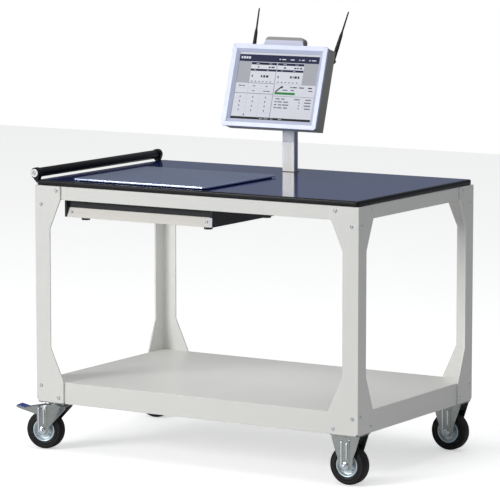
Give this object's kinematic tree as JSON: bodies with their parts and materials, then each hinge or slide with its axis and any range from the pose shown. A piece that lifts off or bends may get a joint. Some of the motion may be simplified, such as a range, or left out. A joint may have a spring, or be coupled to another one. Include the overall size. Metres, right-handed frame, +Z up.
{
  "type": "workbench with drawers",
  "caption": "Mobile steel workbench with a worktop, load plate, shallow under-top drawer, lower shelf, push handle, braked castors and a tilting terminal on a post.",
  "frame": {"origin": "bottom centre of the whole bench on the floor between its wheels", "axes": "+Z up, +Y from the drawer side towards the rear, +X from the push handle towards the fixed castors"},
  "size_m": [1.2994, 0.755, 1.4171],
  "materials": {
    "frame_paint": "smooth light grey powder coat",
    "worktop_laminate": "glossy navy blue laminate",
    "black_edge": "black moulded edge",
    "load_plate_steel": "polished stainless steel plate",
    "black_rubber": "black rubber",
    "handle_sleeve": "smooth black sleeve over steel tube",
    "grey_cap": "light grey moulded plastic",
    "drawer_front_paint": "warm light grey paint",
    "anthracite_sheet": "anthracite fine-texture powder coat",
    "tyre_rubber": "black rubber tyre",
    "zinc_plate": "bright zinc-plated pressed steel",
    "post_aluminium": "satin anodised aluminium",
    "terminal_paint": "dark grey coated metal housing",
    "bezel_silver": "pale bluish silver coat",
    "screen_glass": "lit display behind a glossy panel",
    "circuit_board": "circuit board and power supply block"
  },
  "bodies": {
    "bench": {"leg_front_left": "frame_paint", "leg_front_right": "frame_paint", "rail_front": "frame_paint", "leg_rear_left": "frame_paint", "leg_rear_right": "frame_paint", "rail_rear": "frame_paint", "rail_left": "frame_paint", "rail_right": "frame_paint", "cross_rail_1": "frame_paint", "cross_rail_2": "frame_paint", "shelf": "frame_paint", "worktop": "worktop_laminate", "worktop_edge": "black_edge", "load_plate_base": "black_rubber", "load_plate": "load_plate_steel", "handle_tube": "handle_sleeve", "handle_bracket_front": "black_edge", "handle_cap_front": "grey_cap", "handle_bracket_rear": "black_edge", "handle_cap_rear": "grey_cap", "drawer_housing": "anthracite_sheet", "rubber_foot_1": "black_rubber", "rubber_foot_2": "black_rubber", "rubber_foot_3": "black_rubber", "rubber_foot_4": "black_rubber", "post": "post_aluminium", "post_head": "post_aluminium", "tilt_pin": "zinc_plate", "castor_plate_front_left": "zinc_plate", "fork_front_right": "zinc_plate", "axle_front_right": "zinc_plate", "castor_plate_rear_left": "zinc_plate", "fork_rear_right": "zinc_plate", "axle_rear_right": "zinc_plate"},
    "drawer": {"drawer_tray": "anthracite_sheet", "drawer_front": "drawer_front_paint", "drawer_slide_left": "zinc_plate", "drawer_slide_right": "zinc_plate"},
    "terminal": {"terminal_mount": "anthracite_sheet", "terminal_housing": "terminal_paint", "terminal_bezel": "bezel_silver", "screen": "screen_glass", "terminal_electronics": "circuit_board", "terminal_handle": "grey_cap"},
    "antenna_left_whip": {"antenna_left": "black_rubber"},
    "antenna_right_whip": {"antenna_right": "black_rubber"},
    "castor_front_left": {"fork_front_left": "zinc_plate", "axle_front_left": "zinc_plate"},
    "pedal_front_left": {"brake_pedal_front_left": "zinc_plate"},
    "wheel_front_left": {"tyre_front_left": "tyre_rubber", "rim_front_left": "zinc_plate"},
    "wheel_front_right": {"tyre_front_right": "tyre_rubber", "rim_front_right": "zinc_plate"},
    "castor_rear_left": {"fork_rear_left": "zinc_plate", "axle_rear_left": "zinc_plate"},
    "pedal_rear_left": {"brake_pedal_rear_left": "zinc_plate"},
    "wheel_rear_left": {"tyre_rear_left": "tyre_rubber", "rim_rear_left": "zinc_plate"},
    "wheel_rear_right": {"tyre_rear_right": "tyre_rubber", "rim_rear_right": "zinc_plate"}
  },
  "joints": [
    {"name": "drawer_slide", "type": "slide", "parent": "bench", "child": "drawer", "axis": [0, -1, 0], "range_m": [0, 0.34]},
    {"name": "terminal_tilt", "type": "hinge", "parent": "bench", "child": "terminal", "pos_m": [0.0122, 0.24259, 1.1505], "axis": [1, 0, 0], "range_deg": [-17, 17]},
    {"name": "antenna_left_fold", "type": "hinge", "parent": "terminal", "child": "antenna_left_whip", "pos_m": [-0.1343, 0.27518, 1.25451], "axis": [0, 0.9542, -0.299], "range_deg": [-60, 20]},
    {"name": "antenna_right_fold", "type": "hinge", "parent": "terminal", "child": "antenna_right_whip", "pos_m": [0.1732, 0.27518, 1.25451], "axis": [0, 0.9542, -0.299], "range_deg": [-25, 50]},
    {"name": "castor_front_left_swivel", "type": "hinge", "parent": "bench", "child": "castor_front_left", "pos_m": [-0.5068, -0.32751, 0.15], "axis": [0, 0, 1], "continuous": true},
    {"name": "pedal_front_left_press", "type": "hinge", "parent": "castor_front_left", "child": "pedal_front_left", "pos_m": [-0.54607, -0.33515, 0.138], "axis": [0.1908, -0.9816, 0], "range_deg": [0, 8]},
    {"name": "wheel_front_left_spin", "type": "hinge", "parent": "castor_front_left", "child": "wheel_front_left", "pos_m": [-0.55, -0.33591, 0.0625], "axis": [-0.1908, 0.9816, 0], "continuous": true},
    {"name": "wheel_front_right_spin", "type": "hinge", "parent": "bench", "child": "wheel_front_right", "pos_m": [0.5872, -0.32751, 0.0625], "axis": [0, 1, 0], "continuous": true},
    {"name": "castor_rear_left_swivel", "type": "hinge", "parent": "bench", "child": "castor_rear_left", "pos_m": [-0.5068, 0.33249, 0.15], "axis": [0, 0, 1], "continuous": true},
    {"name": "pedal_rear_left_press", "type": "hinge", "parent": "castor_rear_left", "child": "pedal_rear_left", "pos_m": [-0.54607, 0.32485, 0.138], "axis": [0.1908, -0.9816, 0], "range_deg": [0, 8]},
    {"name": "wheel_rear_left_spin", "type": "hinge", "parent": "castor_rear_left", "child": "wheel_rear_left", "pos_m": [-0.55, 0.32409, 0.0625], "axis": [-0.1908, 0.9816, 0], "continuous": true},
    {"name": "wheel_rear_right_spin", "type": "hinge", "parent": "bench", "child": "wheel_rear_right", "pos_m": [0.5872, 0.33249, 0.0625], "axis": [0, 1, 0], "continuous": true}
  ]
}
